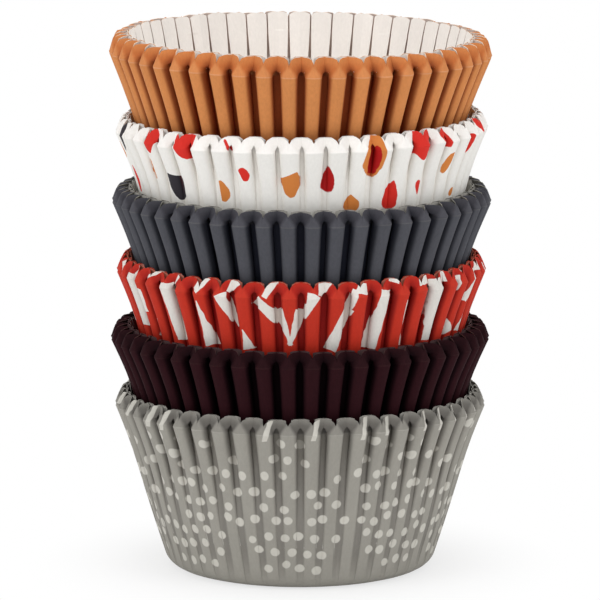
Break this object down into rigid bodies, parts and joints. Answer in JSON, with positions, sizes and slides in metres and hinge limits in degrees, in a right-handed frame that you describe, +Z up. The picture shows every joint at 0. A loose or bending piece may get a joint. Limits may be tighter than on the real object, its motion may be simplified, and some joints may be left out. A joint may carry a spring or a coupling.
{
  "type": "stack of cupcake liners",
  "caption": "Upright stack of nested pleated paper cupcake liners in caramel, speckled white, slate, striped red, plum and dotted grey.",
  "frame": {"origin": "centre of the lowest liner's flat underside, where the stack rests", "axes": "+Z up through the stack towards the open mouth of the top liner, -Y towards the front of the picture, +X to its right"},
  "size_m": [0.0753, 0.0752, 0.1065],
  "materials": {
    "caramel_paper": "matte, white inside",
    "speckled_paper": "matte, red, caramel and charcoal chips on white",
    "slate_paper": "matte, pale grey inside",
    "striped_paper": "matte, white vein stripes on red",
    "plum_paper": "matte",
    "dotted_paper": "matte, fans of white dots on warm grey"
  },
  "bodies": {
    "root": {"dotted_liner": "dotted_paper", "plum_liner": "plum_paper", "striped_liner": "striped_paper", "slate_liner": "slate_paper", "speckled_liner": "speckled_paper", "caramel_liner": "caramel_paper"}
  },
  "joints": []
}
